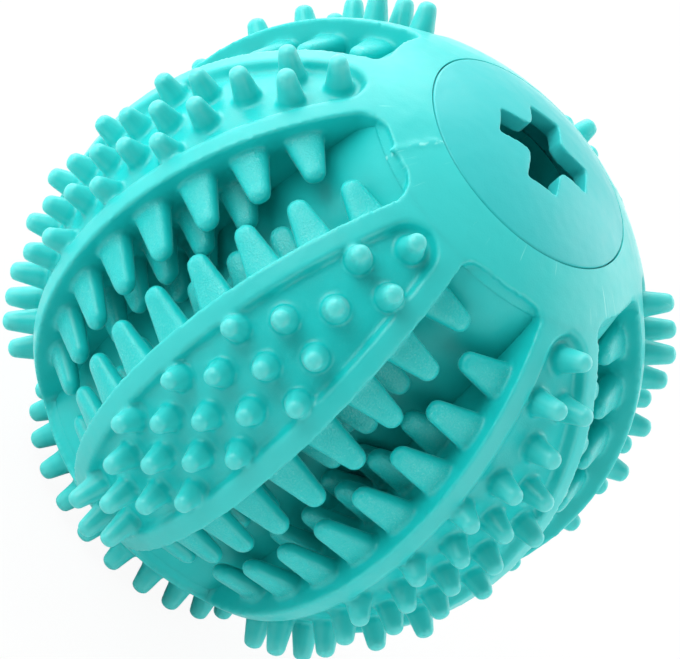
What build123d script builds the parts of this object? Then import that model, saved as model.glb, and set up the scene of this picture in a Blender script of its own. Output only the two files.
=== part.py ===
from build123d import *
import os
from math import asin, atan, atan2, cos, degrees, pi, radians, sin, sqrt, tan

# Treat dispensing ball: a hollow rubber ball with six nubbed segments, toothed grooves between
# them, a crown at each pole and a cross-slotted disc set into the top crown.
# Millimetres, origin at the ball's centre, +Z along the polar axis towards the slotted disc.
# A groove faces +X and a segment faces +Y.

# Ball
ball_radius = 35.0         # sphere through the segment rims and the crowns
groove_depth = 13.0        # from that sphere down to the groove floor, at the equator
core_wall = 3.0            # rubber between the groove floor and the chamber, at the equator
crown_angle = 55.0         # latitude where the grooves end and the crowns begin

# Segments
segment_count = 6
segment_width = 19.5       # across a segment at the equator
wall_apex = 6.5            # from the axis to the line where a segment's two walls would meet
rim_width = 2.4            # raised border round the nubbed field
recess_depth = 1.2         # from the rim down to the field
recess_end_angle = 53.8    # latitude of the field's round ends
recess_corner = 2.7        # rounding of the field's ends
corner_share = 0.9         # of a half end, the most that a rounding may take
recess_fillet = 0.7        # between the field and the rim
rim_edge = 0.5             # rounding of the rim's edges

# Nubs on the field
nub_base_radius = 1.75
nub_tip_radius = 1.05
nub_dome = 0.9             # height of the rounded tip
nub_row_pitch = 7.0        # degrees of latitude between rows at the equator
nub_row_growth = 0.175     # how the pitch opens towards the ends, degrees per row squared
nub_side_gap = 0.35        # from the outer nubs of a row of three to the field's side
nub_counts = [3, 2, 3, 2, 1, 2, 1]    # nubs in each row, from the equator to an end
nub_rises = [2.2, 2.3, 2.5, 2.75, 3.1, 3.4, 3.2]    # from the ball's sphere out to each row's tips

# Nubs in a ring on the bottom crown
ring_count = 24
ring_angle = 63.0          # latitude of the ring, below the equator
ring_rise = 3.3            # from the ball's sphere out to the tips

# Teeth on the groove walls
tooth_first_depth = 3.3    # from the ball's sphere to the middle of the outer row
tooth_row_pitch = 4.0      # from one row to the next, going in
tooth_row_ends = [50.0, 32.0, 14.0]    # latitude that each row stops short of, from the outer row in
tooth_pitch = 11.6         # degrees of latitude from tooth to tooth
tooth_base = 4.4           # along the wall
tooth_tip = 2.2
tooth_thickness = 2.6      # across the wall
tooth_tip_thickness = 1.7
tooth_edge = 0.8           # rounding along a tooth
tooth_end = 0.7            # rounding of its tip
tooth_tip_gap = 2.6        # across the groove between the tips of the two walls, at the equator

# Slotted disc and its seat
disc_angle = 24.3          # from the pole to the disc's edge
disc_fit = 0.1             # gap round the disc, seen as the ring line
disc_edge = 2.6            # height of the disc's edge
disc_wall = 2.0            # rubber at the slot
slot_length = 12.8
slot_width = 4.3
slot_round = 1.3           # rounding of the four lobes
seat_ledge = 4.9           # width of the step that carries the disc
end_wall = 4.0             # rubber closing the chamber at the bottom

# Overlap that lets raised details grow out of the surface that carries them
root = 0.5
floor_lift = 0.2           # the groove floors at the equator, over the core's own sphere

floor_radius = ball_radius - groove_depth
chamber_radius = floor_radius - core_wall
field_radius = ball_radius - recess_depth
disc_radius = ball_radius * sin(radians(disc_angle))
neck_radius = disc_radius - seat_ledge
segment_step = 360 / segment_count
half_width = segment_width / 2
wall_tilt = degrees(atan2(half_width, sqrt(ball_radius**2 - half_width**2) - wall_apex))
field_apex = wall_apex + rim_width / sin(radians(wall_tilt))
nub_spread = degrees(asin((half_width - rim_width - nub_base_radius - nub_side_gap) / field_radius))
reach = 3 * ball_radius


def on_meridian(radius, latitude):
    """Point of the section plane at a radius and a latitude."""
    return radius * cos(radians(latitude)), radius * sin(radians(latitude))


def outward(latitude, longitude):
    """Unit direction from the ball's centre."""
    ring, height = on_meridian(1, latitude)
    return Vector(ring * cos(radians(longitude)), ring * sin(radians(longitude)), height)


def height_at(radius, distance):
    """Height of a sphere's surface at a distance from the axis."""
    return sqrt(radius**2 - distance**2)


def revolved(*edges):
    """Solid of revolution about the polar axis."""
    return revolve(Plane.XZ * make_face(Curve() + list(edges)), Axis.Z, 360)


def band(inner, outer, latitude):
    """Spherical shell between two radii and two opposite latitudes, without its poles."""
    low_in, low_out = on_meridian(inner, -latitude), on_meridian(outer, -latitude)
    high_in, high_out = on_meridian(inner, latitude), on_meridian(outer, latitude)
    section = Curve() + [
        Line(low_in, low_out),
        ThreePointArc(low_out, (outer, 0), high_out),
        Line(high_out, high_in),
        ThreePointArc(high_in, (inner, 0), low_in),
    ]
    sector = revolve(Plane.XZ * make_face(section), Axis.Z, 2 * segment_step)
    return Rot(0, 0, -segment_step) * sector


def wedge(apex):
    """Space between two segment walls that meet at a distance from the axis, facing +X."""
    far_x = apex + reach * cos(radians(wall_tilt))
    far_y = reach * sin(radians(wall_tilt))
    outline = Polygon((apex, 0), (far_x, far_y), (far_x, -far_y), align=None)
    return extrude(outline, amount=reach, both=True)


def fan(latitude):
    """Space between two planes that cross at the ball's centre, facing +X."""
    far_x, far_z = on_meridian(reach, latitude)
    outline = Polygon((0, 0), (far_x, -far_z), (far_x, far_z), align=None)
    return extrude(Plane.XZ * outline, amount=reach, both=True)


def ball(radius):
    """Sphere whose seam faces away from +X."""
    return Rot(0, 0, 180) * Sphere(radius)


def groove_floors():
    """Ring round the core whose barrel-shaped surface rises to the sphere at the groove ends."""
    low_in, low_out = on_meridian(floor_radius, -crown_angle), on_meridian(ball_radius, -crown_angle)
    high_in, high_out = on_meridian(floor_radius, crown_angle), on_meridian(ball_radius, crown_angle)
    return revolved(
        Line(low_in, low_out),
        ThreePointArc(low_out, (floor_radius + floor_lift, 0), high_out),
        Line(high_out, high_in),
        ThreePointArc(high_in, (floor_radius, 0), low_in),
    )


def edges_at(shape, radius):
    """Edges that lie on a sphere about the ball's centre."""
    return [edge for edge in shape.edges() if abs((edge @ 0.5).length - radius) < 0.001]


def recess():
    """Round-ended hollow of the nubbed field, as a cutter with filleted bottom edges."""
    hollow = (wedge(field_apex) & fan(recess_end_angle) & ball(ball_radius + root)) - ball(field_radius)
    corners = [edge for edge in hollow.edges() if abs((edge @ 0).length - (edge @ 1).length) > root]
    hollow = fillet(corners, min(recess_corner, widest_corner()))
    return fillet(edges_at(hollow, field_radius), recess_fillet)


def widest_corner():
    """Largest rounding that the two corners at an end of the field leave room for."""
    ring, height = on_meridian(field_radius, recess_end_angle)
    half_end = (ring - field_apex) * tan(radians(wall_tilt))
    lean = atan(tan(radians(wall_tilt)) * height / field_radius)
    return corner_share * half_end * tan(pi / 4 + lean / 2)


def nub(latitude, longitude, rise):
    """Blunt cone with a domed tip, pointing out of the ball from the depth of the field."""
    top = recess_depth + rise
    shoulder = (nub_tip_radius, top - nub_dome)
    dome_radius = (nub_tip_radius**2 + nub_dome**2) / (2 * nub_dome)
    cone = revolved(
        Line((0, -root), (nub_base_radius, -root)),
        Line((nub_base_radius, -root), shoulder),
        RadiusArc(shoulder, (0, top), -dome_radius),
        Line((0, top), (0, -root)),
    )
    direction = outward(latitude, longitude)
    return Plane(direction * field_radius, z_dir=direction) * cone


def field_nubs():
    """Nubs of one segment, row by row from the equator to both ends."""
    nubs = []
    for row, (count, rise) in enumerate(zip(nub_counts, nub_rises)):
        latitude = nub_row_pitch * row + nub_row_growth * row**2
        for index in range(count):
            longitude = (index - (count - 1) / 2) * nub_spread
            nubs.append(nub(latitude, longitude, rise))
            if row > 0:
                nubs.append(nub(-latitude, longitude, rise))
    return nubs


def tooth(length):
    """Flattened tooth with rounded edges: base along X, thickness along Y, pointing along +Z."""
    foot = Plane.XY.offset(-root) * RectangleRounded(tooth_base, tooth_thickness, tooth_edge)
    end = Plane.XY.offset(length) * RectangleRounded(tooth_tip, tooth_tip_thickness, tooth_edge)
    blade = loft([foot, end], ruled=True)
    brim = [edge for edge in blade.edges() if min((edge @ 0).Z, (edge @ 1).Z) > length - root]
    return fillet(brim, tooth_end)


def wall_teeth(stagger):
    """Teeth of the wall on the +Y side of a segment; stagger shifts the rows by half a pitch."""
    along = Vector(cos(radians(wall_tilt)), sin(radians(wall_tilt)), 0)
    across = Vector(-along.Y, along.X, 0)
    middle = radians(segment_step / 2)
    teeth = []
    for row, row_end in enumerate(tooth_row_ends):
        radius = ball_radius - tooth_first_depth - row * tooth_row_pitch
        shift = 0.5 if (row + stagger) % 2 else 0
        steps = int(row_end / tooth_pitch - shift)
        for step in range(-steps - round(2 * shift), steps + 1):
            latitude = (step + shift) * tooth_pitch
            ring, height = on_meridian(radius, latitude)
            run = sqrt(ring**2 - (wall_apex * along.Y)**2) - wall_apex * along.X
            foot = Vector(wall_apex, 0, 0) + along * run + Vector(0, 0, height)
            to_middle = foot.X * sin(middle) - foot.Y * cos(middle)
            gap = tooth_tip_gap / 2 * cos(radians(latitude))
            length = (to_middle - gap) / cos(middle - radians(wall_tilt))
            up_wall = Vector(0, 0, 1) * cos(radians(latitude)) - along * sin(radians(latitude))
            teeth.append(Plane(foot, x_dir=up_wall, z_dir=across) * tooth(length))
    return teeth


def segment(stagger):
    """Lune-shaped block facing +X, with its rim, nubbed field and toothed walls."""
    block = band(floor_radius, ball_radius, crown_angle) & wedge(wall_apex)
    sides = [edge for edge in edges_at(block, ball_radius) if abs((edge @ 0.5).Z) < root]
    block = fillet(sides, rim_edge)
    block -= recess()
    floors = groove_floors()
    teeth = [item - floors for item in wall_teeth(stagger)]
    mirrored = [item.mirror(Plane.XZ) for item in teeth]
    return block + field_nubs() + teeth + mirrored


def crown(inner_profile):
    """Cap beyond the groove ends; its profile inside the outer surface closes the section."""
    low_in, low_out = on_meridian(floor_radius, crown_angle), on_meridian(ball_radius, crown_angle)
    first = inner_profile[0]
    last = inner_profile[-1]
    middle = (degrees(atan2(first[1], first[0])) + crown_angle) / 2
    inner_middle = (degrees(atan2(last[1], last[0])) + crown_angle) / 2
    edges = [
        Line(low_in, low_out),
        ThreePointArc(low_out, on_meridian(ball_radius, middle), first),
        ThreePointArc(last, on_meridian(floor_radius, inner_middle), low_in),
    ]
    edges += [Line(start, end) for start, end in zip(inner_profile, inner_profile[1:])]
    return revolved(*edges)


def top_crown():
    """Crown with the neck and the seat of the slotted disc."""
    rim = height_at(ball_radius, disc_radius)
    seat = rim - disc_edge
    return crown([
        (disc_radius, rim),
        (disc_radius, seat),
        (neck_radius, seat),
        (neck_radius, height_at(floor_radius, neck_radius)),
    ])


def bottom_crown():
    """Crown that closes the chamber, made pole up and turned over, with its ring of nubs."""
    closed = crown([
        (0, ball_radius),
        (0, ball_radius - end_wall),
        (neck_radius, ball_radius - end_wall),
        (neck_radius, height_at(floor_radius, neck_radius)),
    ])
    ring_step = 360 / ring_count
    ring = [nub(-ring_angle, index * ring_step, ring_rise) for index in range(ring_count)]
    return Rot(180, 0, 0) * closed + ring


def core_shell():
    """Inner sphere that carries the segments and the groove floors, open at both necks."""
    outer = height_at(floor_radius, neck_radius)
    inner = height_at(chamber_radius, neck_radius)
    shell = revolved(
        ThreePointArc((neck_radius, outer), (floor_radius, 0), (neck_radius, -outer)),
        Line((neck_radius, -outer), (neck_radius, -inner)),
        ThreePointArc((neck_radius, -inner), (chamber_radius, 0), (neck_radius, inner)),
        Line((neck_radius, inner), (neck_radius, outer)),
    )
    floors = groove_floors()
    for index in range(segment_count):
        floors -= Rot(0, 0, segment_step * (index + 0.5)) * wedge(wall_apex)
    return shell + floors


def slot_disc():
    """Domed disc with a cross slot, hollow underneath so that its lobes are thin."""
    edge = disc_radius - disc_fit
    seat = height_at(ball_radius, disc_radius) - disc_edge
    under = ball_radius - disc_wall
    blank = revolved(
        Line((0, under), (0, ball_radius)),
        ThreePointArc((0, ball_radius), (edge / 2, height_at(ball_radius, edge / 2)),
                      (edge, height_at(ball_radius, edge))),
        Line((edge, height_at(ball_radius, edge)), (edge, seat)),
        Line((edge, seat), (neck_radius, seat)),
        Line((neck_radius, seat), (neck_radius, height_at(under, neck_radius))),
        ThreePointArc((neck_radius, height_at(under, neck_radius)),
                      (neck_radius / 2, height_at(under, neck_radius / 2)), (0, under)),
    )
    cross = Rectangle(slot_length, slot_width) + Rectangle(slot_width, slot_length)
    lobes = [corner for corner in cross.vertices() if max(abs(corner.X), abs(corner.Y)) < slot_length / 2 - root]
    cross = fillet(lobes, slot_round)
    return blank - extrude(cross, amount=reach)


nodes = {
    "core_shell": core_shell(),
    "top_crown": top_crown(),
    "bottom_crown": bottom_crown(),
    "slot_disc": slot_disc(),
}
patterns = [segment(1), segment(0)]
for index in range(segment_count):
    turn = Rot(0, 0, segment_step * (index + 0.5))
    nodes[f"segment_{index + 1}"] = turn * patterns[index % 2]

os.makedirs("parts", exist_ok=True)
for name, shape in nodes.items():
    export_step(shape, f"parts/{name}.step")
    print(name, len(shape.solids()), round(shape.volume, 1), shape.is_valid)
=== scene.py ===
# %% [markdown]
# # A treat dispensing ball in soft turquoise rubber
# The ball is one soft moulding: six lune-shaped segments with a raised rim, a sunken field of nubs, and
# toothed grooves between them. A domed disc with a cross slot closes the top. The frame brings the pieces
# at their real size, and this lesson gives them the skin of moulded rubber.

# %% Load the frame
import random
from math import asin, atan2, copysign, cos, degrees, pi, radians, sin, sqrt

import bmesh
import bpy
from mathutils import Matrix, Vector


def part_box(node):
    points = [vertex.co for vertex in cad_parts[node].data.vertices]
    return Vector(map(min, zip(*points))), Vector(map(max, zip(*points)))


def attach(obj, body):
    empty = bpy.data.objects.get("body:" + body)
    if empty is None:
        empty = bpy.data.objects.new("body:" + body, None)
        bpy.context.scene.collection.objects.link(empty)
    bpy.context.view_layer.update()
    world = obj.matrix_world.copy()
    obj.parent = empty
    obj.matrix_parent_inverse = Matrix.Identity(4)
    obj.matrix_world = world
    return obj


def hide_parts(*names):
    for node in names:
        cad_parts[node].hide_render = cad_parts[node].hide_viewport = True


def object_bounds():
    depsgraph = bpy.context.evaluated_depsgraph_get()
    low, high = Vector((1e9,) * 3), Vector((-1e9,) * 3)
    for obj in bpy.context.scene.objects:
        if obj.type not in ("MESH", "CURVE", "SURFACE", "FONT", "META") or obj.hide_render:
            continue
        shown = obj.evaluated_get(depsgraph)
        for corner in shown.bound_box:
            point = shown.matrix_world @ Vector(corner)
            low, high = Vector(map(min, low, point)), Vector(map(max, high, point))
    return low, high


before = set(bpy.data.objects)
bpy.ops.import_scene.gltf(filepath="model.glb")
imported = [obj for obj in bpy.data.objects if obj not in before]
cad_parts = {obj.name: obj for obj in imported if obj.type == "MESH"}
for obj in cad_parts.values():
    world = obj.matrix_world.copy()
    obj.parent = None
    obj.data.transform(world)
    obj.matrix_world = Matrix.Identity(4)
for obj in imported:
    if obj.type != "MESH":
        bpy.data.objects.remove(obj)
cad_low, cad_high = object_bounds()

MM = 0.001
scene = bpy.context.scene
print("CAD box in mm:", [round(v / MM, 2) for v in (*cad_low, *cad_high)])

# %% [markdown]
# ## The camera
# The photograph is taken from far away with a long lens, so lines hardly converge. The ball lies on its
# side there: its polar axis points to the upper right of the picture. The camera is placed by the two
# angles from which it sees the ball, and then rolled about its own line of sight until the axis leans as it should.

# %% Camera
VIEW_LONGITUDE = -26.8      # degrees from +X, where the camera stands round the polar axis
VIEW_LATITUDE = 29.1        # degrees above the ball's equator
VIEW_ROLL = 49.3            # degrees that the camera leans, so that the axis points to the upper right
VIEW_DISTANCE = 973 * MM
PHOTO_WIDTH = 680           # pixels
PIXELS_PER_MM = 8.794       # at the ball's centre
CENTRE_RISE = 4             # pixels that the ball's centre sits above the picture's


def direction(latitude, longitude):
    """Unit vector from the ball's centre."""
    ring = cos(radians(latitude))
    return Vector((ring * cos(radians(longitude)), ring * sin(radians(longitude)), sin(radians(latitude))))


camera_data = bpy.data.cameras.new("photo_camera")
camera = bpy.data.objects.new("photo_camera", camera_data)
scene.collection.objects.link(camera)
back = direction(VIEW_LATITUDE, VIEW_LONGITUDE)
facing = (-back).to_track_quat("-Z", "Y").to_matrix()
camera.matrix_world = (facing @ Matrix.Rotation(radians(VIEW_ROLL), 3, "Z")).to_4x4()
camera.location = back * VIEW_DISTANCE
camera_data.sensor_width = 36
camera_data.lens = 36 * VIEW_DISTANCE / (PHOTO_WIDTH / PIXELS_PER_MM * MM)
camera_data.shift_y = -CENTRE_RISE / PHOTO_WIDTH
camera_data.clip_start = 0.01
scene.camera = camera
print("lens in mm:", round(camera_data.lens, 1))

# %% [markdown]
# ## Measures
# These repeat the construction's own sizes, so the skin lies where the solids are.

# %% Measures of the ball
BALL = -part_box("bottom_crown")[0].z       # radius of the sphere through the rims and the crowns
FLOOR = 22.3 * MM                         # radius of the groove floor at the equator
ROOT = 20.6 * MM                          # how deep the skin's segments go into the core's wall
CHAMBER = 19.0 * MM                       # radius of the treat chamber
CROWN_ANGLE = 55.0                        # latitude of the groove ends
SEAM_ANGLE = 54.4                         # latitude where a segment's skin meets a crown's
SEGMENTS = 6
STEP = 360 / SEGMENTS
APEX = 6.5 * MM                           # where a segment's two walls would meet
SEGMENT_WIDTH = 19.5 * MM
half_width = SEGMENT_WIDTH / 2
TILT = atan2(half_width, sqrt(BALL**2 - half_width**2) - APEX)


def on_meridian(radius, latitude):
    """Distance from the axis and height of a point at a latitude."""
    return radius * cos(radians(latitude)), radius * sin(radians(latitude))


def spread(first, last, count):
    """Evenly spaced values, both ends included."""
    return [first + (last - first) * i / (count - 1) for i in range(count)]


def spun(profile, turn=0.0, arc=360.0, steps=120):
    """A closed profile of (distance, height) points swept about the polar axis, centred on a turn in degrees."""
    bm = bmesh.new()
    face = bm.faces.new([bm.verts.new((x, 0, z)) for x, z in profile])
    start = turn - arc / 2
    bmesh.ops.rotate(bm, verts=bm.verts, cent=(0, 0, 0), matrix=Matrix.Rotation(radians(start), 3, "Z"))
    full = arc >= 360
    bmesh.ops.spin(
        bm, geom=[*bm.verts, *bm.edges, face], cent=(0, 0, 0), axis=(0, 0, 1),
        angle=radians(arc), steps=steps, use_merge=full, use_duplicate=False,
    )
    bmesh.ops.remove_doubles(bm, verts=bm.verts, dist=0.001 * MM)
    if full:
        inside = [f for f in bm.faces if all(not e.is_manifold for e in f.edges)]
        bmesh.ops.delete(bm, geom=inside, context="FACES_ONLY")
    bmesh.ops.recalc_face_normals(bm, faces=bm.faces)
    return bm


def joined(*parts):
    """Several bmeshes gathered into one; each part is freed."""
    whole = bmesh.new()
    for part in parts:
        mesh = bpy.data.meshes.new("part")
        part.to_mesh(mesh)
        part.free()
        whole.from_mesh(mesh)
        bpy.data.meshes.remove(mesh)
    return whole


def as_object(name, bm):
    """A scene object from a bmesh, which is freed."""
    mesh = bpy.data.meshes.new(name)
    bm.to_mesh(mesh)
    bm.free()
    made = bpy.data.objects.new(name, mesh)
    scene.collection.objects.link(made)
    return made


def settle(made):
    """Applies an object's modifiers to its mesh."""
    depsgraph = bpy.context.evaluated_depsgraph_get()
    finished = bpy.data.meshes.new_from_object(made.evaluated_get(depsgraph))
    made.modifiers.clear()
    old = made.data
    made.data = finished
    bpy.data.meshes.remove(old)
    finished.name = made.name


print("segment wall tilt:", round(degrees(TILT), 2))

# %% [markdown]
# ## The segment's block
# A lune is a slice of the ball's shell. A ring section is swept round the axis, the field is pressed into its
# outer surface with a smooth step, and two flat cuts make the groove walls. Pressing the field in as a
# formula gives the soft foot of its wall, which a cut would leave sharp.

# %% Block with its sunken field
RIM_WIDTH = 2.4 * MM
FIELD_DEPTH = 1.2 * MM
FIELD_END = 53.8            # latitude of the field's round ends
FIELD_CORNER = 2.9 * MM
FIELD_WALL = 0.9 * MM       # width of the slope from the rim to the field
BLOCK_END = 60.0            # the block runs on into the crown
BLOCK_SPREAD = 44.0


def field_depth(point):
    """How far the field is pressed in at a point of the ball's sphere."""
    from_side = (point.x - APEX) * sin(TILT) - abs(point.y) * cos(TILT) - RIM_WIDTH
    from_end = BALL * (radians(FIELD_END) - abs(asin(point.z / point.length)))
    inside = min(from_side, from_end)
    if max(from_side, from_end) < FIELD_CORNER:
        inside = FIELD_CORNER - sqrt((FIELD_CORNER - from_side) ** 2 + (FIELD_CORNER - from_end) ** 2)
    share = max(0.0, min(1.0, inside / FIELD_WALL))
    return FIELD_DEPTH * share * share * (3 - 2 * share)


def segment_block():
    """Lune facing +X, with its field pressed in and its two walls cut flat."""
    outer = [on_meridian(BALL, latitude) for latitude in spread(-BLOCK_END, BLOCK_END, 361)]
    inner = [on_meridian(ROOT, latitude) for latitude in spread(BLOCK_END, -BLOCK_END, 61)]
    bm = spun(outer + inner, arc=BLOCK_SPREAD, steps=132)
    for vert in bm.verts:
        if vert.co.length > BALL - 0.001 * MM:
            vert.co *= 1 - field_depth(vert.co) / BALL
    for side in (1, -1):
        cut = bmesh.ops.bisect_plane(
            bm, geom=[*bm.verts, *bm.edges, *bm.faces], plane_co=(APEX, 0, 0),
            plane_no=(-sin(TILT), side * cos(TILT), 0), clear_outer=True,
        )
        edges = [item for item in cut["geom_cut"] if isinstance(item, bmesh.types.BMEdge)]
        bmesh.ops.holes_fill(bm, edges=edges, sides=0)
    return bm


print("field depth on a segment's middle line in mm:", round(field_depth(Vector((BALL, 0, 0))) / MM, 2))

# %% [markdown]
# ## Nubs
# A nub is a blunt cone on a small flare. Its half-profile is spun about its own axis. The pattern has
# rows of one, two and three, closest at the equator, and the nubs get longer towards the ends. Rubber never comes
# out of a mould perfectly straight, so each nub leans by a degree or so.

# %% Nub pattern
NUB_BASE = 1.62 * MM
NUB_TIP = 1.1 * MM
NUB_FLARE = 0.2 * MM
NUB_DOME = 0.75 * MM
NUB_ROW_PITCH = 7.0
NUB_ROW_GROWTH = 0.175
NUB_SPREAD = 8.94           # degrees of longitude from nub to nub in a row of three
NUB_DRIFT = 1.7             # degrees by which the rows of the segment in front sit south of their even places
NUB_DRIFT_START = 40        # northern latitude where that begins; it is full from the equator south
NUB_COUNTS = (3, 2, 3, 2, 1, 2, 1)
NUB_RISES = (2.2, 2.3, 2.5, 2.75, 3.1, 3.4, 3.2)    # mm from the ball's sphere to the tips of each row
NUB_LEAN = 1.2
FIELD = BALL - FIELD_DEPTH
SUNK = 0.6 * MM             # how deep raised details start inside what carries them


def nub(length):
    """One nub along +Z, its foot on the plane z = 0."""
    shoulder = length - NUB_DOME
    foot = NUB_FLARE * 1.5
    profile = [(0, -SUNK), (NUB_BASE + NUB_FLARE, -SUNK), (NUB_BASE + NUB_FLARE, 0)]
    profile += [(NUB_BASE + NUB_FLARE * (1 - sin(a)), foot * (1 - cos(a))) for a in spread(pi / 8, pi / 2, 4)]
    for share in spread(0.25, 0.75, 3):
        profile.append((NUB_BASE + (NUB_TIP - NUB_BASE) * share, foot + (shoulder - foot) * share))
    profile += [(NUB_TIP * cos(a), shoulder + NUB_DOME * sin(a)) for a in spread(0, pi / 2, 7)]
    return spun(profile, steps=28)


def nub_places(in_front):
    """Latitude, longitude and rise of every nub of a segment; the one in front is less even in the photo."""
    for row, (count, rise) in enumerate(zip(NUB_COUNTS, NUB_RISES)):
        latitude = NUB_ROW_PITCH * row + NUB_ROW_GROWTH * row**2
        for index in range(count):
            longitude = (index - (count - 1) / 2) * NUB_SPREAD
            if in_front:
                longitude /= cos(radians(latitude))
            for end in (1, -1) if row else (1,):
                share = max(0, min(1, 1 - end * latitude / NUB_DRIFT_START)) if in_front else 0
                yield end * latitude - NUB_DRIFT * share, longitude, rise * MM


def nubs(places, draw):
    """Nubs at a list of places, each with its own slight lean."""
    made = []
    for latitude, longitude, rise in places:
        bm = nub(FIELD_DEPTH + rise)
        out = direction(latitude, longitude)
        lean = Matrix.Rotation(radians(draw.uniform(-NUB_LEAN, NUB_LEAN)), 4, "X")
        lean @= Matrix.Rotation(radians(draw.uniform(-NUB_LEAN, NUB_LEAN)), 4, "Y")
        turn = out.to_track_quat("Z", "Y").to_matrix().to_4x4()
        bmesh.ops.transform(bm, matrix=Matrix.Translation(out * FIELD) @ turn @ lean, verts=bm.verts)
        made.append(bm)
    return made


print("nubs on a segment:", len(list(nub_places(False))))

# %% [markdown]
# ## Teeth
# The groove walls carry three rows of flattened teeth that reach almost to the groove's middle. The inner
# rows are shorter, because the groove gets shallow towards its ends. The teeth of two facing walls interleave,
# so every other segment has its rows shifted by half a pitch. A tooth starts as a squarish oval, which is
# extruded in steps and narrowed at each step, until a few small steps round the tip.

# %% Tooth pattern
TOOTH_FIRST_DEPTH = 3.3 * MM
TOOTH_ROW_PITCH = 4.0 * MM
TOOTH_ROW_ENDS = (50.0, 32.0, 14.0)    # latitude that each row stops short of, from the outer row in
TOOTH_PITCH = 11.6
TOOTH_BASE = 4.9 * MM
TOOTH_TIP = 2.75 * MM
TOOTH_THICKNESS = 2.9 * MM
TOOTH_TIP_THICKNESS = 2.1 * MM
TOOTH_TIP_GAP = 1.6 * MM
TOOTH_SQUARE = 0.72         # 1 is an oval, and less makes it squarer
TOOTH_LEAN = 1.5


def tooth(length):
    """One tooth along +Z: base along X, thickness along Y."""
    bm = bmesh.new()
    bmesh.ops.create_circle(bm, cap_ends=True, segments=20, radius=1)
    for vert in bm.verts:
        vert.co.x = copysign(abs(vert.co.x) ** TOOTH_SQUARE, vert.co.x) * TOOTH_BASE / 2
        vert.co.y = copysign(abs(vert.co.y) ** TOOTH_SQUARE, vert.co.y) * TOOTH_THICKNESS / 2
        vert.co.z = -SUNK
    dome = TOOTH_TIP / 2
    steps = [(length - dome, 1.0)] + [(length - dome * (1 - sin(a)), cos(a)) for a in spread(pi / 10, pi * 0.45, 4)]
    face = bm.faces[:][0]
    width, thickness, height = TOOTH_BASE, TOOTH_THICKNESS, -SUNK
    for level, share in steps:
        grown = bmesh.ops.extrude_face_region(bm, geom=[face])["geom"]
        face = next(item for item in grown if isinstance(item, bmesh.types.BMFace))
        factor = (TOOTH_TIP * share / width, TOOTH_TIP_THICKNESS * share / thickness, 1)
        bmesh.ops.scale(bm, vec=factor, verts=face.verts)
        bmesh.ops.translate(bm, vec=(0, 0, level - height), verts=face.verts)
        width, thickness, height = TOOTH_TIP * share, TOOTH_TIP_THICKNESS * share, level
    return bm


def tooth_places(stagger):
    """Foot, direction up the wall and length of every tooth of the wall on the +Y side."""
    along = Vector((cos(TILT), sin(TILT), 0))
    middle = radians(STEP / 2)
    for row, row_end in enumerate(TOOTH_ROW_ENDS):
        radius = BALL - TOOTH_FIRST_DEPTH - row * TOOTH_ROW_PITCH
        shift = 0.5 if (row + stagger) % 2 else 0
        steps = int(row_end / TOOTH_PITCH - shift)
        for step in range(-steps - round(2 * shift), steps + 1):
            latitude = (step + shift) * TOOTH_PITCH
            ring, height = on_meridian(radius, latitude)
            run = sqrt(ring**2 - (APEX * along.y) ** 2) - APEX * along.x
            foot = Vector((APEX, 0, height)) + along * run
            to_middle = foot.x * sin(middle) - foot.y * cos(middle)
            gap = TOOTH_TIP_GAP / 2 * cos(radians(latitude))
            length = (to_middle - gap) / cos(middle - TILT)
            up_wall = Vector((0, 0, cos(radians(latitude)))) - along * sin(radians(latitude))
            yield foot, up_wall, length


def teeth(stagger, draw):
    """All the teeth of both walls of a segment."""
    across = Vector((-sin(TILT), cos(TILT), 0))
    made = []
    for foot, up_wall, length in tooth_places(stagger):
        turn = Matrix((up_wall, across.cross(up_wall), across)).transposed().to_4x4()
        for side in (1, -1):
            lean = Matrix.Rotation(radians(draw.uniform(-TOOTH_LEAN, TOOTH_LEAN)), 4, "X")
            lean @= Matrix.Rotation(radians(draw.uniform(-TOOTH_LEAN, TOOTH_LEAN)), 4, "Y")
            flip = Matrix.Scale(side, 4, (0, 1, 0))
            bm = tooth(length)
            bmesh.ops.transform(bm, matrix=flip @ Matrix.Translation(foot) @ turn @ lean, verts=bm.verts)
            bmesh.ops.recalc_face_normals(bm, faces=bm.faces)
            made.append(bm)
    return made


print("teeth on a wall of either kind:", [len(list(tooth_places(stagger))) for stagger in (0, 1)])

# %% [markdown]
# ## One skin
# In a mould every detail grows out of its neighbour with a small fillet. Remeshing the gathered shapes in small voxels
# welds them into one closed skin, and a few rounds of smoothing round every edge and foot. A segment and
# the crown next to it are welded with the same shapes round their seam, and then trimmed by the same cone, so the two
# skins meet without a visible line.

# %% Weld, smooth and trim
VOXEL = 0.285 * MM
END_CORNER = 1.3 * MM       # rounding of the corners of a groove's end
SOFT_CORNER = 3.0 * MM      # the same at the groove where the mould parts
PARTING = 300               # longitude of that groove
END_BOW = 2.0               # degrees by which a groove's end rises in its middle
SMOOTH_ROUNDS = 4
SHARP_ANGLE = 50


def welded(name, bm, voxel=VOXEL, rounds=SMOOTH_ROUNDS):
    """One smooth skin round all the shapes of a bmesh."""
    made = as_object(name, bm)
    weld = made.modifiers.new("weld", "REMESH")
    weld.mode = "VOXEL"
    weld.voxel_size = voxel
    soften = made.modifiers.new("soften", "SMOOTH")
    soften.factor = 0.5
    soften.iterations = rounds
    settle(made)
    return made


def trim(made, cutter, operation):
    """Cuts an object with another, by difference or intersection."""
    cut = made.modifiers.new("trim", "BOOLEAN")
    cut.operation = operation
    cut.solver = "MANIFOLD"
    cut.object = cutter
    settle(made)


def shade(made):
    """Smooth shading, with the trimmed edges kept sharp."""
    made.data.shade_smooth()
    made.data.set_sharp_from_angle(angle=radians(SHARP_ANGLE))


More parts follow.
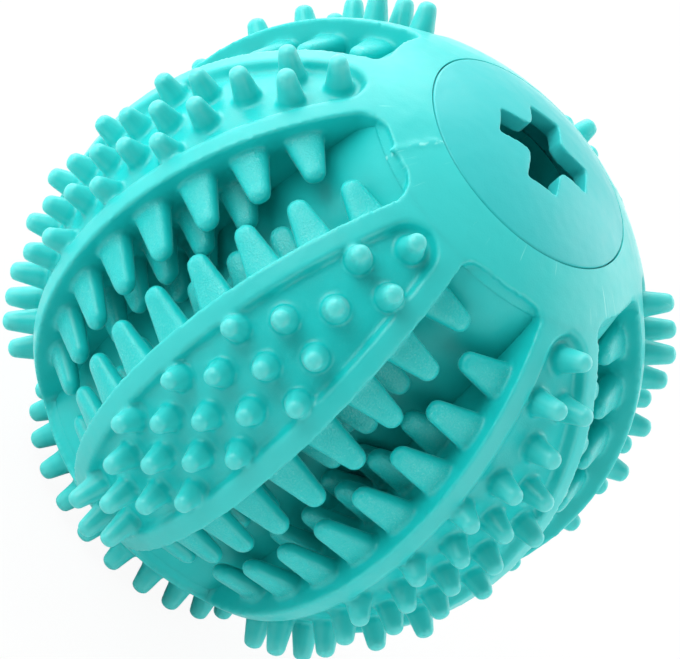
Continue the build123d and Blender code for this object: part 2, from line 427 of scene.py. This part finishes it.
def half_width_at(latitude):
    """Half the width of a segment at a latitude of the ball's sphere."""
    ring = BALL * cos(radians(latitude))
    run = sqrt(ring**2 - (APEX * sin(TILT)) ** 2) - APEX * cos(TILT)
    return run * sin(TILT)


def groove_end(longitude):
    """Latitude of the lip of a groove's end."""
    ring = BALL * cos(radians(CROWN_ANGLE))
    wall = degrees(asin(half_width_at(CROWN_ANGLE) / ring))
    groove = round(longitude / STEP) * STEP
    corner = SOFT_CORNER if groove % 180 == PARTING % 180 else END_CORNER
    offset = abs(longitude - groove)
    to_wall = radians(STEP / 2 - wall - offset) * ring
    bow = END_BOW * (1 - (offset / (STEP / 2 - wall)) ** 2)
    inside = corner - min(max(to_wall, 0), corner)
    drop = corner - sqrt(corner**2 - inside**2) if to_wall > -RIM_WIDTH / 2 else 0
    return CROWN_ANGLE + max(bow, 0) - degrees(drop / BALL)


def cap(turn, arc, steps):
    """Part of a crown facing up, filled in to the axis, whose lower edge follows the lips of the groove ends."""
    slope = [on_meridian(BALL, latitude) for latitude in spread(CROWN_ANGLE, 90, 71)]
    profile = [on_meridian(ROOT, CROWN_ANGLE), *slope, (0, ROOT * sin(radians(CROWN_ANGLE)))]
    bm = spun(profile, turn, arc, steps)
    for vert in bm.verts:
        latitude = degrees(asin(vert.co.z / vert.co.length))
        if abs(latitude - CROWN_ANGLE) < 0.01:
            longitude = degrees(atan2(vert.co.y, vert.co.x))
            vert.co = direction(groove_end(longitude), longitude) * vert.co.length
    return bm


def floors():
    """Barrel-shaped core round the chamber, whose surface rises to the ball's sphere at the groove ends."""
    lip, top = on_meridian(BALL, CROWN_ANGLE + END_BOW)
    barrel = [(FLOOR - (FLOOR - lip) * (z / top) ** 2, z) for z in spread(-top, top, 121)]
    inner = [on_meridian(CHAMBER, latitude) for latitude in spread(CROWN_ANGLE, -CROWN_ANGLE, 61)]
    return spun(barrel + inner, steps=240)


def part_above(bm, height):
    """Cuts off and closes the part of a bmesh below a height."""
    cut = bmesh.ops.bisect_plane(
        bm, geom=[*bm.verts, *bm.edges, *bm.faces], plane_co=(0, 0, height), plane_no=(0, 0, -1), clear_outer=True)
    edges = [item for item in cut["geom_cut"] if isinstance(item, bmesh.types.BMEdge)]
    bmesh.ops.holes_fill(bm, edges=edges, sides=0)
    return bm


def upside_down(bm):
    """Turns a bmesh over, from the top pole to the bottom one."""
    bmesh.ops.rotate(bm, verts=bm.verts, cent=(0, 0, 0), matrix=Matrix.Rotation(pi, 3, "X"))
    return bm


FRONT = 5                   # the segment at 330 degrees, which faces the camera
within, beyond = ROOT * 0.85, BALL * 2
band_profile = [on_meridian(radius, latitude) for radius, latitude in (
    (within, SEAM_ANGLE), (within, -SEAM_ANGLE), (beyond, -SEAM_ANGLE), (beyond, 0), (beyond, SEAM_ANGLE))]
band = as_object("seam_cutter", spun(band_profile, steps=360))
block = segment_block()
segment_pieces = []
for number in range(SEGMENTS):
    draw = random.Random(number)
    turn = STEP * (number + 0.5)
    raised = joined(block.copy(), *nubs(nub_places(number == FRONT), draw), *teeth((number + 1) % 2, draw))
    bmesh.ops.rotate(raised, verts=raised.verts, cent=(0, 0, 0), matrix=Matrix.Rotation(radians(turn), 3, "Z"))
    ends = [cap(turn, STEP, 60), upside_down(cap(-turn, STEP, 60))]
    piece = welded(f"rubber_segment_{number + 1}", joined(raised, *ends))
    trim(piece, band, "INTERSECT")
    shade(piece)
    segment_pieces.append(piece)
    print(piece.name, "faces:", len(piece.data.polygons))

# %% [markdown]
# ## Crowns
# The two crowns are the caps round the poles. Each is welded with the ends of all six segments, so
# that the lips and corners of the groove ends come out soft. The top one is then bored for its disc, and the bottom
# one carries a ring of nubs. The mould parts along one meridian, which left a row of small lumps across each crown.
# The core, with the groove floors, is smooth enough as it is swept.

# %% Crowns
DISC_HOLE = 14.4 * MM
DISC_EDGE = 2.6 * MM
NECK = 9.5 * MM
END_WALL = 4.0 * MM
HOLE_BEVEL = 0.14 * MM      # broken edge of the disc's hole
STUB_LOW = 22 * MM          # height from which a segment's end is welded to its crown
FLASH_END = 65.2            # latitude where the parting line runs into the disc's hole
FLASH_SIZE = (0.22, 0.42)   # mm
FLASH_STRAY = 0.35          # degrees to either side
RING_COUNT = 24
RING_ANGLE = -63.0          # latitude of the bottom crown's ring of nubs
RING_RISE = 3.3 * MM


def flash(longitude, draw):
    """Small lumps of rubber in a row up a meridian, where the halves of the mould meet."""
    lumps = []
    latitude = CROWN_ANGLE
    while latitude < FLASH_END:
        lump = bmesh.new()
        size = draw.uniform(*FLASH_SIZE) * MM
        stray = draw.gauss(0, FLASH_STRAY) / cos(radians(latitude))
        bmesh.ops.create_icosphere(lump, subdivisions=2, radius=size)
        bmesh.ops.translate(lump, vec=direction(latitude, longitude + stray) * (BALL - size * 0.4), verts=lump.verts)
        lumps.append(lump)
        latitude += degrees(size / BALL) * 1.2
    return lumps


def crown_shapes():
    """A top crown's cap with the ends of the floors and of the six segments below it."""
    shapes = [cap(0, 360, 360), part_above(floors(), STUB_LOW)]
    for longitude in (PARTING, PARTING - 180):
        shapes += flash(longitude, random.Random(longitude))
    stub = part_above(block.copy(), STUB_LOW)
    for number in range(SEGMENTS):
        end = stub.copy()
        turn = Matrix.Rotation(radians(STEP * (number + 0.5)), 3, "Z")
        bmesh.ops.rotate(end, verts=end.verts, cent=(0, 0, 0), matrix=turn)
        shapes.append(end)
    stub.free()
    return joined(*shapes)


seat = sqrt(BALL**2 - DISC_HOLE**2) - DISC_EDGE
lip = seat + DISC_EDGE
seat_cutter = as_object("seat_cutter", spun(
    [(0, 0), (NECK, 0), (NECK, seat), (DISC_HOLE, seat), (DISC_HOLE, lip - HOLE_BEVEL),
     (DISC_HOLE + HOLE_BEVEL, lip), (DISC_HOLE + HOLE_BEVEL, 2 * BALL), (0, 2 * BALL)], steps=240))
pocket_cutter = as_object("pocket_cutter", spun(
    [(0, 0), (0, END_WALL - BALL), (NECK, END_WALL - BALL), (NECK, 0)], steps=120))
top_crown = welded("rubber_top_crown", crown_shapes())
trim(top_crown, band, "DIFFERENCE")
trim(top_crown, seat_cutter, "DIFFERENCE")
ring_places = [(RING_ANGLE, index * 360 / RING_COUNT, RING_RISE) for index in range(RING_COUNT)]
ring = nubs(ring_places, random.Random(SEGMENTS))
bottom_crown = welded("rubber_bottom_crown", joined(upside_down(crown_shapes()), *ring))
trim(bottom_crown, band, "DIFFERENCE")
trim(bottom_crown, pocket_cutter, "DIFFERENCE")
core = as_object("rubber_core", floors())
trim(core, band, "INTERSECT")
for piece in (top_crown, bottom_crown, core):
    shade(piece)
    print(piece.name, "faces:", len(piece.data.polygons))

# %% [markdown]
# ## Slotted disc
# The disc is a thin dome with a thicker edge that sits on a ledge in the crown. Its cross slot has four soft
# lobes between the arms. It is welded in finer voxels than the rest, because the slot's edges are crisper.

# %% Disc with its cross slot
DISC_FIT = 0.1 * MM
DISC_WALL = 2.0 * MM
SLOT_LENGTH = 12.8 * MM
SLOT_WIDTH = 4.3 * MM
LOBE_ROUND = 1.3 * MM
ARM_ROUND = 0.35 * MM       # rounding of the corners at the ends of the arms
DISC_VOXEL = 0.145 * MM
DISC_ROUNDS = 3


def height_at(radius, distance):
    """Height of a sphere's surface at a distance from the axis."""
    return sqrt(radius**2 - distance**2)


def disc_blank():
    """Domed disc before its slot is cut."""
    rim = DISC_HOLE - DISC_FIT
    under = BALL - DISC_WALL
    top = [(x, height_at(BALL, x)) for x in spread(0, rim, 60)]
    below = [(x, height_at(under, x)) for x in spread(NECK, 0, 40)]
    return spun([*top, (rim, seat), (NECK, seat), *below], steps=240)


def cross_prism():
    """Cross-shaped cutter with rounded lobes, tall enough to go through the disc."""
    bm = bmesh.new()
    arm, half = SLOT_LENGTH / 2, SLOT_WIDTH / 2
    quarter = [(arm - ARM_ROUND * (1 - cos(a)), half - ARM_ROUND * (1 - sin(a))) for a in spread(0, pi / 2, 4)]
    quarter += [(half + LOBE_ROUND * (1 - sin(a)), half + LOBE_ROUND * (1 - cos(a))) for a in spread(0, pi / 2, 9)]
    quarter += [(half - ARM_ROUND * (1 - cos(a)), arm - ARM_ROUND * (1 - sin(a))) for a in spread(0, pi / 2, 4)]
    outline = []
    for turns in range(4):
        spin = Matrix.Rotation(turns * pi / 2, 2)
        outline += [spin @ Vector(point) for point in quarter]
    face = bm.faces.new([bm.verts.new((x, y, BALL / 2)) for x, y in outline])
    grown = bmesh.ops.extrude_face_region(bm, geom=[face])
    raised = [item for item in grown["geom"] if isinstance(item, bmesh.types.BMVert)]
    bmesh.ops.translate(bm, vec=(0, 0, BALL), verts=raised)
    bmesh.ops.recalc_face_normals(bm, faces=bm.faces)
    return bm


slot_cutter = as_object("slot_cutter", cross_prism())
disc = as_object("rubber_slot_disc", disc_blank())
trim(disc, slot_cutter, "DIFFERENCE")
sharp_disc = bmesh.new()
sharp_disc.from_mesh(disc.data)
bpy.data.objects.remove(disc)
disc = welded("rubber_slot_disc", sharp_disc, DISC_VOXEL, DISC_ROUNDS)
shade(disc)
print(disc.name, "faces:", len(disc.data.polygons))
for cutter in (band, seat_cutter, pocket_cutter, slot_cutter):
    bpy.data.objects.remove(cutter)

# %% [markdown]
# ## Rubber
# The ball is moulded in a soft turquoise rubber that lets a little light in. A skin group gives what all of it has:
# slow cloudiness, a fine grain from the mould and a few specks. It reads Object coordinates, so the skins of
# neighbouring pieces carry one pattern across their seams.

# %% Node helpers
def node(tree, kind, inputs=None, **settings):
    """A node with its settings and inputs; an input that is a socket is linked."""
    made = tree.nodes.new(kind)
    for name, value in settings.items():
        setattr(made, name, value)
    for name, value in (inputs or {}).items():
        if isinstance(value, bpy.types.NodeSocket):
            tree.links.new(value, made.inputs[name])
        else:
            made.inputs[name].default_value = value
    return made


def maths(tree, operation, first, second=0.0):
    """Result of a Math node."""
    return node(tree, "ShaderNodeMath", {0: first, 1: second}, operation=operation).outputs[0]


def ramp(tree, value, low, high, to_low=0.0, to_high=1.0):
    """Result of a smooth, clamped Map Range node."""
    inputs = {"Value": value, "From Min": low, "From Max": high, "To Min": to_low, "To Max": to_high}
    return node(tree, "ShaderNodeMapRange", inputs, interpolation_type="SMOOTHSTEP").outputs["Result"]


def blend(tree, factor, first, second, mode="MIX"):
    """Result of a colour Mix node."""
    made = node(tree, "ShaderNodeMix", data_type="RGBA", blend_type=mode)
    for name, value in (("Factor_Float", factor), ("A_Color", first), ("B_Color", second)):
        socket = next(item for item in made.inputs if item.identifier == name)
        if isinstance(value, bpy.types.NodeSocket):
            tree.links.new(value, socket)
        else:
            socket.default_value = value
    return next(item for item in made.outputs if item.identifier == "Result_Color")


def in_mm(tree):
    """Object coordinates in millimetres."""
    place = node(tree, "ShaderNodeTexCoord").outputs["Object"]
    return node(tree, "ShaderNodeVectorMath", {0: place, "Scale": 1 / MM}, operation="SCALE").outputs[0]


def noise(tree, place, scale, detail=2.0):
    """Noise value; the scale is in cycles per millimetre."""
    inputs = {"Vector": place, "Scale": scale, "Detail": detail}
    return node(tree, "ShaderNodeTexNoise", inputs).outputs[0]


def new_group(name, sockets):
    """Empty shader group with its named sockets."""
    group = bpy.data.node_groups.new(name, "ShaderNodeTree")
    for label, way, kind in sockets:
        group.interface.new_socket(label, in_out=way, socket_type=f"NodeSocket{kind}")
    return group, node(group, "NodeGroupInput").outputs, node(group, "NodeGroupOutput").inputs


# %% Skin of the rubber
SPECK_SHARE = 0.09                  # share of the cells that hold a dark speck
SPECK_TINT = (0.25, 0.42, 0.45, 1)
SMEAR = 0.22                        # how far the roughness wanders
GRAIN = 0.012                       # mm, height of the mould's grain
SWELL = 0.10                        # mm, height of the slow unevenness
skin, given, result = new_group("rubber_skin", [
    ("Colour", "INPUT", "Color"), ("Cloudiness", "INPUT", "Float"), ("Roughness", "INPUT", "Float"),
    ("Colour", "OUTPUT", "Color"), ("Roughness", "OUTPUT", "Float"), ("Height", "OUTPUT", "Float")])
place = in_mm(skin)
cloud = maths(skin, "SUBTRACT", noise(skin, place, 0.11, 4), 0.5)
shift = maths(skin, "MULTIPLY_ADD", cloud, given["Cloudiness"])
shift.node.inputs[2].default_value = 1.0
tint = node(skin, "ShaderNodeHueSaturation", {"Color": given["Colour"], "Value": shift}).outputs["Color"]
cells = node(skin, "ShaderNodeTexVoronoi", {"Vector": place, "Scale": 0.22})
lot = node(skin, "ShaderNodeSeparateColor", {"Color": cells.outputs["Color"]}).outputs[0]
chosen = maths(skin, "LESS_THAN", lot, SPECK_SHARE)
speck = maths(skin, "MULTIPLY", ramp(skin, cells.outputs["Distance"], 0.012, 0.035, 1, 0), chosen)
dark = blend(skin, 1.0, tint, SPECK_TINT, "MULTIPLY")
skin.links.new(blend(skin, speck, tint, dark), result["Colour"])
smear = maths(skin, "MULTIPLY", maths(skin, "SUBTRACT", noise(skin, place, 0.35, 3), 0.5), SMEAR)
skin.links.new(maths(skin, "ADD", given["Roughness"], smear), result["Roughness"])
grain = maths(skin, "MULTIPLY", noise(skin, place, 4.5, 2), GRAIN)
swell = maths(skin, "MULTIPLY", noise(skin, place, 0.4, 1), SWELL)
skin.links.new(maths(skin, "ADD", grain, swell), result["Height"])
print("skin group nodes:", len(skin.nodes))

# %% [markdown]
# The body has four finishes of its own and some painted light. The flat outer faces of the teeth were etched in the
# mould, so they are frosted with pale grains, and their brightest grains are painted glints. The nub tips are paler,
# partly rubbed and partly painted light, and the rims and crowns carry a faint painted sheen. The top crown carries
# faint pale scratches along the meridians, from handling, and a broken pale line where the mould parts.

# %% Finishes of the body, with its painted sheen, glints and tip light
TEETH_INSIDE = (23.0, 24.5)         # mm from the ball's centre, over which the etched faces begin
TEETH_OUTSIDE = (33.2, 34.0)        # and over which they end
# painted sheen: the outermost faces, rims and crowns, are paled a little in place of the lamps' reflection
PAINTED_SHEEN_RIMS = (34.5, 34.95)         # the same for the rims and crowns
# the nub tips are paled, partly painted light where the thin tips stand out and glow, partly rubbed
LIT_AND_RUBBED_TIPS = (35.6, 37.8)          # and for the nub tips
SCRATCHED_FROM = (27.0, 29.0)       # mm up the axis, over which the scratches begin
PARTED_FROM = (24.0, 27.0)          # and over which the parting line begins
PARTING_WIDTH = (0.1, 0.4)          # mm from its middle, over which that line ends
PARTING_WANDER = 0.8                # mm
PAINTED_RIM_SHEEN, TIP_LIGHT_AND_WEAR_PALENESS = 0.08, 0.25
# the glints are painted highlights on the brightest grains of the etched faces
FROST_PALENESS, PAINTED_GLINT_PALENESS = 0.14, 0.55
SCRATCH_PALENESS, PARTING_PALENESS = 0.6, 0.6
STIPPLE = 0.08                      # mm, height of the etched grains
# real marks of the body, together with painted sheen, painted glints and partly painted tip light
marks, given, result = new_group("body_marks_and_painted_light", [
    ("Colour", "INPUT", "Color"), ("Pale", "INPUT", "Color"), ("Height", "INPUT", "Float"),
    ("Colour", "OUTPUT", "Color"), ("Frost", "OUTPUT", "Float"), ("Height", "OUTPUT", "Float")])
place = in_mm(marks)
radius = node(marks, "ShaderNodeVectorMath", {0: place}, operation="LENGTH").outputs["Value"]
out = node(marks, "ShaderNodeVectorMath", {0: place}, operation="NORMALIZE").outputs[0]
facing = node(marks, "ShaderNodeVectorMath", {0: out, 1: node(marks, "ShaderNodeNewGeometry").outputs["Normal"]},
              operation="DOT_PRODUCT").outputs["Value"]
low = maths(marks, "MULTIPLY", ramp(marks, radius, *TEETH_INSIDE), ramp(marks, radius, *TEETH_OUTSIDE, 1, 0))
etched = maths(marks, "MULTIPLY", low, ramp(marks, facing, 0.35, 0.95))
grains = noise(marks, place, 4.5, 3)
patch = ramp(marks, noise(marks, place, 0.35, 2), 0.35, 0.65, 0.2, 1)
frost = maths(marks, "MULTIPLY", maths(marks, "MULTIPLY", etched, ramp(marks, grains, 0.40, 0.66)), patch)
# paler nub tips: partly painted light, partly rubbed
tips = ramp(marks, radius, *LIT_AND_RUBBED_TIPS, 0, TIP_LIGHT_AND_WEAR_PALENESS)
# painted sheen on the rims and crowns, joined with the paler nub tips
painted_sheen_and_tips = maths(marks, "MAXIMUM", tips, ramp(marks, radius, *PAINTED_SHEEN_RIMS, 0, PAINTED_RIM_SHEEN))
xyz = node(marks, "ShaderNodeSeparateXYZ", {"Vector": place}).outputs
turn = maths(marks, "ARCTAN2", xyz["Y"], xyz["X"])
stretched = node(marks, "ShaderNodeCombineXYZ", {"X": maths(marks, "MULTIPLY", turn, 55.0),
                                                 "Y": maths(marks, "MULTIPLY", xyz["Z"], 0.25)}).outputs[0]
strokes = ramp(marks, noise(marks, stretched, 1.0, 4), 0.60, 0.72)
handled = ramp(marks, noise(marks, place, 0.16, 2), 0.44, 0.58)
where = maths(marks, "MULTIPLY", ramp(marks, xyz["Z"], *SCRATCHED_FROM), handled)
scratch = maths(marks, "MULTIPLY", maths(marks, "MULTIPLY", strokes, where), SCRATCH_PALENESS)
# painted glints: the brightest grains of the etched faces are paled like highlights
painted_glint = maths(marks, "MULTIPLY", maths(marks, "MULTIPLY", etched, ramp(marks, grains, 0.66, 0.72)), patch)
pale = maths(marks, "MAXIMUM", maths(marks, "MULTIPLY", frost, FROST_PALENESS),
             maths(marks, "MULTIPLY", painted_glint, PAINTED_GLINT_PALENESS))
across = node(marks, "ShaderNodeVectorMath", {0: place, 1: direction(0, PARTING + 90)},
              operation="DOT_PRODUCT").outputs["Value"]
wander = maths(marks, "MULTIPLY", maths(marks, "SUBTRACT", noise(marks, place, 0.5, 2), 0.5), PARTING_WANDER)
from_line = maths(marks, "ABSOLUTE", maths(marks, "ADD", across, wander))
lengths = ramp(marks, noise(marks, place, 0.8, 3), 0.42, 0.58)
broken = maths(marks, "MULTIPLY", lengths, ramp(marks, xyz["Z"], *PARTED_FROM))
line = ramp(marks, from_line, *PARTING_WIDTH, 1, 0)
parting = maths(marks, "MULTIPLY", maths(marks, "MULTIPLY", line, broken), PARTING_PALENESS)
pale = maths(marks, "MAXIMUM", maths(marks, "MAXIMUM", pale, parting), maths(marks, "MAXIMUM", painted_sheen_and_tips, scratch))
marks.links.new(blend(marks, pale, given["Colour"], given["Pale"]), result["Colour"])
marks.links.new(frost, result["Frost"])
stipple = maths(marks, "MULTIPLY", maths(marks, "MULTIPLY", grains, etched), STIPPLE)
marks.links.new(maths(marks, "ADD", given["Height"], stipple), result["Height"])
print("marks group nodes:", len(marks.nodes))

# %% [markdown]
# The body and the disc are of the same kind of rubber, the disc a little greyer. Subsurface light softens
# the nubs, and a thin sheen whitens what is seen at a grazing angle. The groove floors have no marks.

# %% Rubbers
TURQUOISE = (0.008, 0.56, 0.545, 1)
DISC_TURQUOISE = (0.03, 0.52, 0.525, 1)
PALE = (0.32, 0.86, 0.82, 1)
FROST_POLISH = 0.12         # how much smoother a frosted face is


def rubber(name, colour, cloudiness, roughness, marked):
    """Soft rubber on the skin group; the body's marks, with their painted sheen, glints and tip light, are added where
    asked.
    """
    material = bpy.data.materials.new(name)
    material.use_nodes = True
    tree = material.node_tree
    shader = tree.nodes["Principled BSDF"]
    inputs = {"Colour": colour, "Cloudiness": cloudiness, "Roughness": roughness}
    finish = node(tree, "ShaderNodeGroup", inputs, node_tree=skin)
    colour_from, height_from = finish.outputs["Colour"], finish.outputs["Height"]
    roughness_from = finish.outputs["Roughness"]
    if marked:
        inputs = {"Colour": colour_from, "Pale": PALE, "Height": height_from}
        own = node(tree, "ShaderNodeGroup", inputs, node_tree=marks)
        colour_from, height_from = own.outputs["Colour"], own.outputs["Height"]
        polish = maths(tree, "MULTIPLY", own.outputs["Frost"], FROST_POLISH)
        roughness_from = maths(tree, "SUBTRACT", roughness_from, polish)
    bump = node(tree, "ShaderNodeBump", {"Height": height_from, "Strength": 1.0, "Distance": MM})
    tree.links.new(colour_from, shader.inputs["Base Color"])
    tree.links.new(roughness_from, shader.inputs["Roughness"])
    tree.links.new(bump.outputs["Normal"], shader.inputs["Normal"])
    shader.inputs["Subsurface Weight"].default_value = 0.25
    shader.inputs["Subsurface Radius"].default_value = (0.3, 1.0, 0.95)
    shader.inputs["Subsurface Scale"].default_value = 1.2 * MM
    shader.inputs["Specular IOR Level"].default_value = 0.4
    shader.inputs["Sheen Weight"].default_value = 0.3
    shader.inputs["Sheen Roughness"].default_value = 0.2
    return material


body_rubber = rubber("turquoise_rubber", TURQUOISE, 0.10, 0.36, True)
core_rubber = rubber("core_rubber", TURQUOISE, 0.10, 0.42, False)
disc_rubber = rubber("disc_rubber", DISC_TURQUOISE, 0.05, 0.38, False)
print("rubbers:", [made.name for made in (body_rubber, core_rubber, disc_rubber)])

# %% [markdown]
# ## Dress the frame
# Each skin rides on the frame's one body, takes the finish of its material slot and stands for its solid, which
# stays in the frame for collision.

# %% Dress
dressed = [(piece, f"segment_{number + 1}", body_rubber) for number, piece in enumerate(segment_pieces)]
dressed += [(top_crown, "top_crown", body_rubber), (bottom_crown, "bottom_crown", body_rubber)]
dressed += [(core, "core_shell", core_rubber), (disc, "slot_disc", disc_rubber)]
for piece, replaced, material in dressed:
    piece.data.materials.clear()
    piece.data.materials.append(material)
    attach(piece, "root")
    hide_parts(replaced)
print("dressed pieces:", len(dressed))

# %% [markdown]
# ## Stage and light
# The photograph is lit as in a light tent. The surround is brightest above and behind the ball and dim on the
# camera's side, so that faces towards the camera stay deep in colour. The floor is pale, keeps the shadow, and
# looks white to the camera.

# %% Floor and surround
STAGE_SIZE = 4                          # metres from the floor's middle to its sides
STAGE_WHITE = 0.94                      # share of plain white in what the camera sees of the floor
TENT_DIM, TENT_BRIGHT = 0.1, 0.85       # strength of the surround on its dim and on its bright side
floor_bm = bmesh.new()
bmesh.ops.create_grid(floor_bm, x_segments=1, y_segments=1, size=STAGE_SIZE)
bmesh.ops.translate(floor_bm, vec=(0, 0, cad_low.z), verts=floor_bm.verts)
floor = as_object("floor", floor_bm)
paint = bpy.data.materials.new("pale_floor")
paint.use_nodes = True
tree = paint.node_tree
matte = tree.nodes["Principled BSDF"]
matte.inputs["Base Color"].default_value = (0.9, 0.9, 0.9, 1)
matte.inputs["Roughness"].default_value = 0.95
matte.inputs["Specular IOR Level"].default_value = 0.1
white = node(tree, "ShaderNodeEmission", {"Color": (1, 1, 1, 1), "Strength": 1.0}).outputs[0]
ray = node(tree, "ShaderNodeLightPath").outputs
share = maths(tree, "MULTIPLY", ray["Is Camera Ray"], STAGE_WHITE)
mixed = node(tree, "ShaderNodeMixShader", {0: share, 1: matte.outputs[0], 2: white}).outputs[0]
tree.links.new(mixed, tree.nodes["Material Output"].inputs["Surface"])
floor.data.materials.append(paint)
print("floor height in mm:", round(cad_low.z / MM, 2))

world = bpy.data.worlds.new("light_tent")
scene.world = world
world.use_nodes = True
tree = world.node_tree
tent = tree.nodes["Background"]
tent.inputs["Color"].default_value = (1, 1, 1, 1)
ray = node(tree, "ShaderNodeLightPath").outputs
picture_right, picture_up, picture_near = (camera.matrix_world.to_3x3() @ axis for axis in (
    Vector((1, 0, 0)), Vector((0, 1, 0)), Vector((0, 0, 1))))
brightest = (picture_up * 0.8 - picture_near * 0.6 - picture_right * 0.1).normalized()
towards = node(tree, "ShaderNodeTexCoord").outputs["Generated"]
along = node(tree, "ShaderNodeVectorMath", {0: towards, 1: brightest}, operation="DOT_PRODUCT").outputs["Value"]
glow = ramp(tree, along, -0.9, 0.9, TENT_DIM, TENT_BRIGHT)
tree.links.new(maths(tree, "MAXIMUM", glow, ray["Is Camera Ray"]), tent.inputs["Strength"])

# %% [markdown]
# The lamps are placed by the picture's own directions: to its right, up in it and towards the viewer. Each is a
# large square, so its reflection in the rubber stays soft.

# %% Lamps
def lamp(name, right, up, near, distance, size, power):
    """Square area lamp in a direction given in the picture's own axes, looking at the ball."""
    data = bpy.data.lights.new(name, "AREA")
    data.size = size
    data.energy = power
    made = bpy.data.objects.new(name, data)
    toward = (picture_right * right + picture_up * up + picture_near * near).normalized()
    made.location = toward * distance
    made.rotation_euler = (-toward).to_track_quat("-Z", "Y").to_euler()
    scene.collection.objects.link(made)
    print(name, "stands at", [round(v, 2) for v in made.location])


lamp("top_back_lamp", -0.1, 1.0, -0.3, 0.6, 0.6, 3.2)
lamp("top_left_lamp", -0.4, 0.75, 0.6, 0.7, 0.5, 3.2)
lamp("right_back_lamp", 1.0, 0.15, -0.45, 0.6, 0.5, 1.6)
lamp("low_right_lamp", 0.65, -0.6, 0.45, 0.8, 0.8, 3.8)
lamp("left_lamp", -1.0, -0.1, 0.3, 0.8, 0.5, 1.6)
scene.view_settings.view_transform = "Standard"
